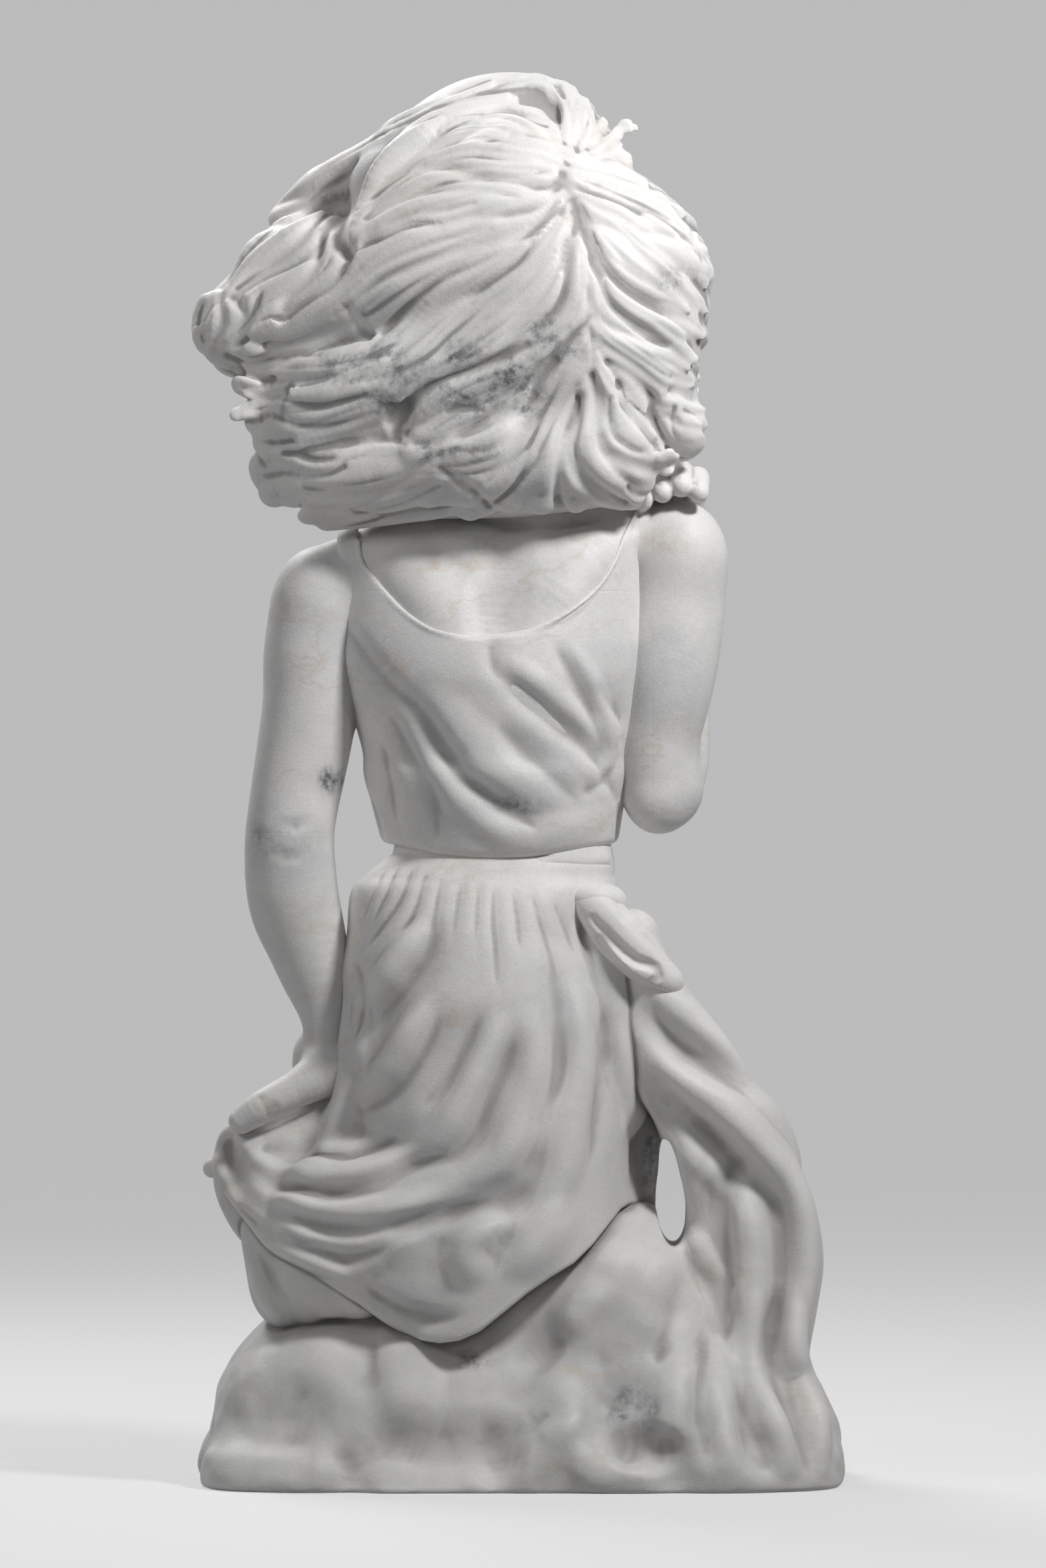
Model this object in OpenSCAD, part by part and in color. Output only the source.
// Carved stone figure of a woman seen walking against the wind.
// The dress is lifted in one hand, a sash trails to the ground and the hair streams sideways.
// Frame: millimetres, +Z up, the figure faces +Y, origin at the middle of the rock's flat underside.
// Every carved element is one solid, cut back where a neighbour lies over it, so that they meet face to face.

/* [Rock] */
// Width of the rock on the ground
rock_w = 412; // [330:1:500]
// Depth of the rock on the ground
rock_d = 250; // [200:1:320]
// Height of the rock under the lowest point of the hem
rock_h = 110; // [90:1:140]

/* [Dress] */
// Height from the hem to the waist
skirt_len = 285; // [230:1:345]
// Width of the skirt at the hips
hip_w = 184; // [150:1:225]
// Depth of the skirt at the hips
hip_d = 160; // [130:1:195]
// Width of the waist
waist_w = 138; // [112:1:166]
// Depth of the waist
waist_d = 112; // [90:1:136]
// Height of the wrapped waist sash
sash_h = 36; // [28:1:44]
// How far the wrapped sash stands proud of the waist
sash_t = 4; // [2:0.5:7]
// Thickness of the bodice cloth over the skin
cloth_t = 3; // [2:0.5:5]
// Half width of the round neckline
neckline_w = 92; // [76:1:98]
// Half width of the trailing sash where it is widest
trail_w = 47; // [38:1:56]

/* [Body] */
// Height from the waist to the shoulders
torso_len = 195; // [160:1:235]
// Width of the chest between the arms
chest_w = 188; // [170:1:215]
// Depth of the chest
chest_d = 142; // [118:1:170]
// Distance between the two shoulder joints
shoulder_span = 226; // [200:1:250]
// Radius of the upper arm
arm_r = 31; // [25:0.5:37]
// Radius of the wrist
wrist_r = 15; // [12:0.5:18]
// Radius of a finger
finger_r = 6.5; // [5:0.5:8]
// Height from the shoulders to the chin
neck_len = 58; // [48:1:70]
// Radius of the neck
neck_r = 32; // [26:1:39]
// Height of the head from chin to crown
head_h = 150; // [125:1:180]
// Width of the head
head_w = 104; // [86:1:125]
// Depth of the head
head_d = 132; // [110:1:158]

/* [Hair] */
// How far the hair rises over the crown
hair_rise = 102; // [80:1:122]
// How far the hair streams from the middle of the rock
hair_reach = 205; // [170:1:245]
// Thickness of the hair behind the head
hair_t = 32; // [26:1:38]

/* [Hidden] */

BIG_FN = 20;      // facets round a large form
SMALL_FN = 10;    // facets round a finger or a lock
FAR = 600;        // larger than the figure, for cutting blocks
body_x = -12;     // the body stands this far from the middle of the rock
head_x = 16;      // the head leans this far the other way
tail_x = 148;     // middle of the trailing sash above the ground

waist_z = rock_h + skirt_len;
shoulder_z = waist_z + torso_len;
chin_z = shoulder_z + neck_len;
crown_z = chin_z + head_h;
hair_top = crown_z + hair_rise;
hand_z = rock_h + 0.42 * skirt_len;     // the lifted cloth is held here

left_joint = [body_x - shoulder_span / 2, 0, shoulder_z - 18];
right_joint = [body_x + shoulder_span / 2, 0, shoulder_z + 3];
left_wrist = [-124, -12, hand_z + 62];
right_elbow = [right_joint[0] - 8, -4, right_joint[2] - 0.76 * torso_len];
right_wrist = [right_joint[0] + 2, 50, shoulder_z + 4];

// ---- building blocks -------------------------------------------------------------------

// An ellipsoid with its middle at p and the half sizes r.
module ball(p, r, fn = BIG_FN) {
    translate(p) scale(r) sphere(r = 1, $fn = fn);
}

// A smooth swelling form through a row of stations, each [middle, half sizes].
module swell(stations, fn = BIG_FN) {
    for (i = [0 : len(stations) - 2])
        hull() {
            ball(stations[i][0], stations[i][1], fn);
            ball(stations[i + 1][0], stations[i + 1][1], fn);
        }
}

// The same with round sections, each station [x, y, z, radius].
module limb(stations, fn = SMALL_FN) {
    swell([for (s = stations) [[s[0], s[1], s[2]], [s[3], s[3], s[3]]]], fn);
}

// A point a share t of the way from a to b.
function between(a, b, t) = a + (b - a) * t;

// Everything below a level.
module below(z) {
    translate([-FAR, -FAR, z - 2 * FAR]) cube(2 * FAR);
}

// ---- raw forms, before neighbours are cut away -----------------------------------------

// Stations of the skirt: share of the length below the waist, sideways shift, shares of hip width and depth.
SKIRT = [
    [0.02, 0, 0.74, 0.68], [0.15, -2, 0.97, 0.88], [0.32, -6, 1.00, 1.00],
    [0.50, -14, 1.08, 1.10], [0.68, -28, 1.25, 1.18], [0.82, -33, 1.31, 1.22], [0.95, -38, 1.16, 1.22]
];

module skirt_form() {
    swell([for (s = SKIRT) [
        [body_x + s[1], 3, waist_z - s[0] * skirt_len],
        [s[2] * hip_w / 2, s[3] * hip_d / 2, 24 + 8 * s[0]]
    ]]);
}

// The far side of the skirt reaches further out, beside the trailing sash.
module skirt_front_form() {
    swell([
        [[20, 32, waist_z - 0.20 * skirt_len], [40, 44, 30]],
        [[38, 38, waist_z - 0.50 * skirt_len], [45, 50, 34]],
        [[43, 40, waist_z - 0.72 * skirt_len], [46, 54, 34]],
        [[45, 40, rock_h + 36], [46, 56, 32]]
    ]);
}

module lifted_form() {
    swell([
        [[-178, -8, hand_z - 6], [12, 16, 12]],
        [[-173, -2, hand_z - 30], [20, 34, 20]],
        [[-161, 2, between(rock_h, hand_z, 0.45)], [25, 52, 26]],
        [[-140, 4, rock_h + 28], [30, 60, 32]]
    ]);
    swell([
        [[-172, -8, hand_z - 8], [14, 18, 14]],
        [[-120, -8, hand_z - 26], [44, 58, 32]],
        [[-70, -4, hand_z - 20], [50, 84, 42]]
    ]);
}

module turnback_form() {
    swell([
        [[-158, -48, rock_h + 46], [14, 18, 20]],
        [[-142, -70, rock_h + 18], [22, 22, 26]],
        [[-104, -84, rock_h + 20], [22, 16, 20]]
    ], SMALL_FN);
}

// The rock: a mound on a foot that is nearly a rectangle, with rounded corners.
module rock_form() {
    half_x = rock_w / 2;
    half_y = rock_d / 2;
    difference() {
        union() {
            swell([
                [[-half_x + 158, 0, 0], [148, half_y - 10, rock_h + 46]],
                [[half_x - 152, 0, 0], [144, half_y - 10, rock_h + 58]]
            ]);
            hull()
                for (x = [-half_x + 62, half_x - 62])
                    for (y = [-half_y + 48, half_y - 48])
                        ball([x, y, 10], [62, 48, 52]);
        }
        below(0);
    }
}

module trail_foot_form() {
    half = rock_w / 2;
    difference() {
        swell([
            [[tail_x - 4, -6, 66], [trail_w - 4, 48, 30]],
            [[half - 46, -10, 26], [46, 74, 34]],
            [[half - 70, 20, 20], [60, 70, 30]]
        ]);
        below(0);
    }
}

// Stations of the trailing sash: share of the drop, x, y, share of its width, half depth.
TRAIL = [
    [0.00, 68, -30, 0.30, 18], [0.14, 86, -25, 0.52, 26], [0.30, 110, -16, 0.85, 30],
    [0.50, 135, -8, 0.98, 33], [0.72, 148, -4, 1.00, 36], [1.00, 148, -4, 0.96, 42]
];

module trail_form() {
    top = waist_z - 66;
    swell([for (s = TRAIL) [
        [s[1], s[2], between(top, 96, s[0])],
        [s[3] * trail_w, s[4], 22 + 10 * s[0]]
    ]]);
}

// The opening between the skirt and the trailing sash, right through the figure.
module gap_form() {
    x = body_x + hip_w / 2 + 16;
    swell([
        [[x - 2, 0, hand_z - 18], [5, FAR, 10]],
        [[x + 1, 0, hand_z - 44], [9, FAR, 18]],
        [[x + 3, 0, hand_z - 64], [7, FAR, 12]]
    ], SMALL_FN);
}

module knot_form() {
    swell([
        [[body_x + waist_w / 2 - 17, -waist_d / 2 + 6, waist_z - 24], [17, 15, 13]],
        [[body_x + waist_w / 2 + 5, -waist_d / 2 + 12, waist_z - 34], [19, 22, 18]]
    ], SMALL_FN);
}

module loop_form() {
    start = [body_x + waist_w / 2 + 2, -waist_d / 2 - 2, waist_z - 36];
    tip = [94, -40, waist_z - 80];
    swell([
        [start, [12, 12, 12]],
        [between(start, tip, 0.5), [15, 14, 15]],
        [tip, [12, 11, 11]]
    ], SMALL_FN);
}

module waist_sash_form() {
    rx = waist_w / 2 + sash_t;
    ry = waist_d / 2 + sash_t;
    intersection() {
        swell([
            [[body_x, 0, waist_z + sash_h / 2], [rx, ry, sash_h / 2]],
            [[body_x, 0, waist_z - sash_h / 2 + 4], [rx + 3, ry + 4, sash_h / 2]]
        ]);
        rotate([0, 3, 0])
            translate([0, 0, waist_z]) cube([FAR, FAR, sash_h], center = true);
    }
}

// Stations of the torso: share of the way up, sideways shift, shares of chest width and depth.
TORSO = [
    [0.03, 0, 0.73, 0.75], [0.18, -1, 0.84, 0.86], [0.40, -3, 0.88, 0.94],
    [0.62, -5, 0.96, 1.00], [0.80, -3, 1.00, 0.98], [0.94, 1, 1.00, 0.82], [1.04, 8, 0.72, 0.58]
];

// grow: how far the cloth stands off the skin.
module torso_form(grow = 0) {
    swell([for (s = TORSO) [
        [body_x + s[1], 0, waist_z + s[0] * torso_len],
        [s[2] * chest_w / 2 + grow, s[3] * chest_d / 2 + grow, 20 + grow]
    ]]);
    // cloth drawn from the bust down to the waist
    bust_z = waist_z + 0.66 * torso_len;
    hull() {
        for (side = [-1, 1])
            ball([body_x + side * 0.20 * chest_w, chest_d / 2 - 24, bust_z],
                 [35 + grow, 34 + grow, 34 + grow], SMALL_FN + 2);
        ball([body_x, 0.2 * chest_d, waist_z + 0.22 * torso_len],
             [0.3 * chest_w + grow, 0.2 * chest_d + grow, 20], SMALL_FN + 2);
    }
}

// The round neckline, cut straight through from back to front.
module neckline() {
    translate([body_x + 3, 0, shoulder_z + 36])
        rotate([90, 0, 0])
            scale([neckline_w, 0.45 * torso_len, 1])
                cylinder(r = 1, h = FAR, center = true, $fn = 40);
}

// The upright block that holds one shoulder strap. side is -1 for left and 1 for right.
module strap_block(side) {
    translate([body_x + side * (neckline_w - 20) + (side < 0 ? -FAR : 0), -FAR / 2, shoulder_z - 30])
        cube([FAR, FAR, FAR]);
}

module neck_form() {
    swell([
        [[4, 4, shoulder_z + 2], [neck_r + 12, neck_r + 4, 14]],
        [[12, 6, shoulder_z + 0.5 * neck_len], [neck_r, neck_r, 16]],
        [[head_x, 6, chin_z + 16], [neck_r, neck_r + 2, 20]]
    ]);
}

module head_form() {
    cranium_z = chin_z + 0.60 * head_h;
    front = head_d / 2;
    swell([
        [[head_x, 2, cranium_z], [head_w / 2, front, 0.40 * head_h]],
        [[head_x, front - 40, chin_z + 0.34 * head_h], [0.39 * head_w, 38, 0.28 * head_h]],
        [[head_x, front - 16, chin_z + 12], [17, 15, 12]]
    ]);
    // nose
    swell([
        [[head_x, front - 3, chin_z + 0.58 * head_h], [5, 6, 6]],
        [[head_x, front + 9, chin_z + 0.38 * head_h], [8, 8, 7]]
    ], SMALL_FN);
}

// Shares of the way down the left arm, sideways shift, y and share of the arm's radius.
LEFT_ARM = [
    [0.00, 0, 0, 1.10], [0.10, -8, -2, 1.06], [0.24, -8, -4, 1.00], [0.40, -12, -6, 1.00], [0.54, -18, -8, 0.97]
];
LEFT_FOREARM = [
    [0.54, -18, -8, 0.97], [0.66, -16, -10, 0.96], [0.80, -12, -12, 0.86], [0.91, -6, -12, 0.66],
    [1.00, 0, -12, 0.49]
];

// stations: rows as above, between the left shoulder and the left wrist.
module left_arm_form(stations) {
    limb([for (s = stations) [
        between(left_joint[0], left_wrist[0], s[0]) + s[1],
        s[2],
        between(left_joint[2], left_wrist[2], s[0]),
        s[3] * between(arm_r, wrist_r / 0.49, max(0, s[0] - 0.54) / 0.46)
    ]], BIG_FN - 4);
}

module left_hand_form() {
    w = left_wrist;
    limb([
        [w[0], w[1], w[2] + 2, wrist_r], [w[0] - 8, w[1] + 4, w[2] - 20, wrist_r + 1],
        [w[0] - 22, w[1] + 8, w[2] - 34, wrist_r - 2]
    ]);
    // thumb
    limb([
        [w[0] + 4, w[1] - 8, w[2] - 18, 2 * finger_r], [w[0] - 12, w[1] - 12, hand_z + 28, 1.9 * finger_r],
        [w[0] - 34, w[1] - 17, hand_z + 18, 1.5 * finger_r], [-178, w[1] - 18, hand_z + 2, 1.2 * finger_r]
    ]);
    // fingers, folded round the cloth on the far side
    for (i = [0 : 3])
        limb([
            [w[0] - 20, 4 + i, w[2] - 34 - 3 * i, finger_r + 2],
            [-168 - 2 * i, 16, hand_z + 6 - 7 * i, finger_r + 1],
            [-186, 12 - 3 * i, hand_z - 6 - 7 * i, finger_r]
        ]);
}

module right_upper_arm_form() {
    a = right_joint;
    b = right_elbow;
    limb([
        [a[0], a[1], a[2], 1.06 * arm_r], [a[0] - 1, -2, between(a[2], b[2], 0.28), 1.02 * arm_r],
        [a[0] - 4, -4, between(a[2], b[2], 0.62), 0.94 * arm_r], [b[0], b[1], b[2], 0.87 * arm_r]
    ], BIG_FN - 4);
}

module right_forearm_form() {
    b = right_elbow;
    w = right_wrist;
    limb([
        [b[0], b[1] + 2, b[2], 0.84 * arm_r], [b[0] + 3, 24, between(b[2], w[2], 0.20), 0.86 * arm_r],
        [b[0] + 6, 44, between(b[2], w[2], 0.50), 0.76 * arm_r],
        [w[0] - 1, 51, between(b[2], w[2], 0.80), 0.60 * arm_r], [w[0], w[1], w[2], wrist_r]
    ], BIG_FN - 4);
}

module right_hand_form() {
    w = right_wrist;
    limb([
        [w[0], w[1], w[2] - 2, wrist_r], [w[0] + 1, w[1] - 6, w[2] + 20, wrist_r + 2],
        [w[0], w[1] - 18, w[2] + 36, wrist_r - 1]
    ]);
    // fingers over the shoulder
    for (i = [0 : 3])
        limb([
            [w[0] - 12 + 8 * i, w[1] - 20, w[2] + 40, finger_r + 1],
            [w[0] - 10 + 9 * i, 6, w[2] + 46, finger_r + 0.5],
            [w[0] - 10 + 9 * i, -16, w[2] + 38 - i, finger_r]
        ]);
}

module crown_form() {
    swell([
        [[head_x + 10, -14, chin_z + 0.80 * head_h], [head_w / 2 + 44, head_d / 2 + hair_t - 16, 0.60 * head_h]],
        [[head_x + 8, -20, chin_z + 0.48 * head_h], [head_w / 2 + 38, head_d / 2 + hair_t - 22, 0.50 * head_h]]
    ]);
}

// The hollow in the hair that the face looks out of.
module face_window() {
    front = head_d / 2;
    swell([
        [[head_x, front + 16, chin_z + 0.52 * head_h], [0.50 * head_w, 50, 0.36 * head_h]],
        [[head_x, front + 16, chin_z + 6], [0.48 * head_w, 56, 0.24 * head_h]]
    ]);
}

module crest_form() {
    swell([
        [[34, -6, hair_top - 62], [40, 46, 40]],
        [[18, 14, hair_top - 34], [42, 44, 34]],
        [[-24, 20, hair_top - 40], [36, 40, 34]]
    ]);
}

module upper_stream_form() {
    swell([
        [[-24, 20, hair_top - 42], [34, 38, 32]],
        [[-0.40 * hair_reach, 22, hair_top - 64], [30, 32, 28]],
        [[-0.63 * hair_reach, 24, hair_top - 82], [22, 24, 21]],
        [[-hair_reach + 55, 24, hair_top - 95], [13, 14, 13]]
    ]);
}

module middle_stream_form() {
    swell([
        [[0, -38, chin_z + 1.00 * head_h], [58, 48, 62]],
        [[-0.30 * hair_reach, -32, chin_z + 0.90 * head_h], [60, 46, 62]],
        [[-0.58 * hair_reach, -14, chin_z + 0.77 * head_h], [50, 40, 50]],
        [[-0.80 * hair_reach, -5, chin_z + 0.63 * head_h], [34, 30, 34]],
        [[-hair_reach + 18, 0, chin_z + 0.59 * head_h], [18, 18, 20]]
    ]);
}

module lower_stream_form() {
    swell([
        [[4, -38, chin_z + 0.48 * head_h], [66, 54, 58]],
        [[-0.28 * hair_reach, -30, chin_z + 0.36 * head_h], [64, 50, 58]],
        [[-0.54 * hair_reach, -14, chin_z + 0.26 * head_h], [52, 42, 52]],
        [[-hair_reach + 68, -5, chin_z + 0.10 * head_h], [32, 32, 40]]
    ]);
}

module windward_form() {
    swell([
        [[72, -20, chin_z + 0.66 * head_h], [50, 52, 58]],
        [[84, -22, chin_z + 0.36 * head_h], [38, 46, 42]],
        [[100, -16, chin_z + 0.12 * head_h], [24, 32, 24]]
    ]);
}

module nape_form() {
    swell([
        [[-92, -22, shoulder_z + 54], [46, 40, 38]],
        [[-16, -40, shoulder_z + 66], [64, 50, 48]],
        [[52, -36, shoulder_z + 76], [46, 44, 46]]
    ]);
}

// ---- nodes: each form less what lies over it -------------------------------------------

module rock() {
    color("gainsboro") difference() {
        rock_form();
        skirt_form();
        skirt_front_form();
        lifted_form();
        turnback_form();
        trail_form();
        trail_foot_form();
        gap_form();
    }
}

module trail_foot() {
    color("gainsboro") difference() {
        trail_foot_form();
        trail_form();
    }
}

module sash_trail() {
    color("whitesmoke") difference() {
        trail_form();
        loop_form();
        knot_form();
        gap_form();
    }
}

module sash_knot() {
    color("whitesmoke") difference() {
        knot_form();
        loop_form();
        waist_sash_form();
    }
}

module sash_loop() {
    color("whitesmoke") difference() {
        loop_form();
        swell([
            [[body_x + waist_w / 2 + 8, -waist_d / 2 - 14, waist_z - 54], [3, 3, 3]],
            [[84, -52, waist_z - 74], [3, 3, 3]]
        ], SMALL_FN);
        waist_sash_form();
    }
}

module waist_sash() {
    color("whitesmoke") waist_sash_form();
}

module skirt_back() {
    color("white") difference() {
        skirt_form();
        turnback_form();
        lifted_form();
        waist_sash_form();
        knot_form();
        loop_form();
        trail_form();
        gap_form();
        left_arm_form(LEFT_FOREARM);
        left_hand_form();
        translate([-FAR, 26, -FAR]) cube(2 * FAR);
    }
}

module skirt_front() {
    color("white") difference() {
        union() {
            skirt_front_form();
            intersection() {
                skirt_form();
                translate([-FAR, 26, -FAR]) cube(2 * FAR);
            }
        }
        skirt_back_mask();
        lifted_form();
        turnback_form();
        waist_sash_form();
        knot_form();
        trail_form();
        gap_form();
        left_arm_form(LEFT_FOREARM);
        left_hand_form();
    }
}

// The part of the skirt's form on the near side of the side seam.
module skirt_back_mask() {
    difference() {
        skirt_form();
        translate([-FAR, 26, -FAR]) cube(2 * FAR);
    }
}

module lifted_folds() {
    color("white") difference() {
        lifted_form();
        turnback_form();
        left_hand_form();
        left_arm_form(LEFT_FOREARM);
    }
}

module hem_turnback() {
    color("white") difference() {
        turnback_form();
        left_hand_form();
    }
}

module bodice() {
    color("white") difference() {
        torso_form(cloth_t);
        neckline();
        strap_block(-1);
        strap_block(1);
        waist_sash_form();
        below(waist_z);
    }
}

// side is -1 for left and 1 for right.
module strap(side) {
    color("white") difference() {
        intersection() {
            torso_form(cloth_t);
            strap_block(side);
        }
        neckline();
    }
}

module shoulders() {
    color("ivory") difference() {
        intersection() {
            torso_form();
            neckline();
        }
        neck_form();
    }
}

module neck() {
    color("ivory") difference() {
        neck_form();
        head_form();
    }
}

module head() {
    color("ivory") head_form();
}

module left_upper_arm() {
    color("ivory") difference() {
        left_arm_form(LEFT_ARM);
        torso_form(cloth_t);
        nape_form();
        lower_stream_form();
    }
}

module left_forearm() {
    color("ivory") difference() {
        left_arm_form(LEFT_FOREARM);
        left_arm_form(LEFT_ARM);
        torso_form(cloth_t);
        left_hand_form();
    }
}

module left_hand() {
    color("ivory") left_hand_form();
}

module right_upper_arm() {
    color("ivory") difference() {
        right_upper_arm_form();
        torso_form(cloth_t);
        right_hand_form();
        nape_form();
    }
}

module right_forearm() {
    color("ivory") difference() {
        right_forearm_form();
        right_upper_arm_form();
        torso_form(cloth_t);
        right_hand_form();
    }
}

module right_hand() {
    color("ivory") difference() {
        right_hand_form();
        torso_form(cloth_t);
    }
}

// What the hair gives way to: the body, the dress and the raised hand.
module under_hair() {
    head_form();
    neck_form();
    torso_form(cloth_t);
    right_hand_form();
    face_window();
}

module hair_crown() {
    color("snow") difference() {
        crown_form();
        under_hair();
        right_forearm_form();
    }
}

module hair_crest() {
    color("snow") difference() {
        crest_form();
        crown_form();
        face_window();
    }
}

module hair_upper_stream() {
    color("snow") difference() {
        upper_stream_form();
        crest_form();
        crown_form();
    }
}

module hair_middle_stream() {
    color("snow") difference() {
        middle_stream_form();
        crown_form();
        crest_form();
        upper_stream_form();
    }
}

module hair_lower_stream() {
    color("snow") difference() {
        lower_stream_form();
        under_hair();
        crown_form();
        middle_stream_form();
    }
}

module hair_windward_locks() {
    color("snow") difference() {
        windward_form();
        under_hair();
        crown_form();
        lower_stream_form();
        right_upper_arm_form();
        right_forearm_form();
    }
}

module hair_nape_locks() {
    color("snow") difference() {
        nape_form();
        under_hair();
        crown_form();
        lower_stream_form();
        windward_form();
        right_forearm_form();
    }
}

rock();
trail_foot();
sash_trail();
sash_knot();
sash_loop();
waist_sash();
skirt_back();
skirt_front();
lifted_folds();
hem_turnback();
bodice();
strap(-1);  // left_strap
strap(1);  // right_strap
shoulders();
neck();
head();
left_upper_arm();
left_forearm();
left_hand();
right_upper_arm();
right_forearm();
right_hand();
hair_crown();
hair_crest();
hair_upper_stream();
hair_middle_stream();
hair_lower_stream();
hair_windward_locks();
hair_nape_locks();
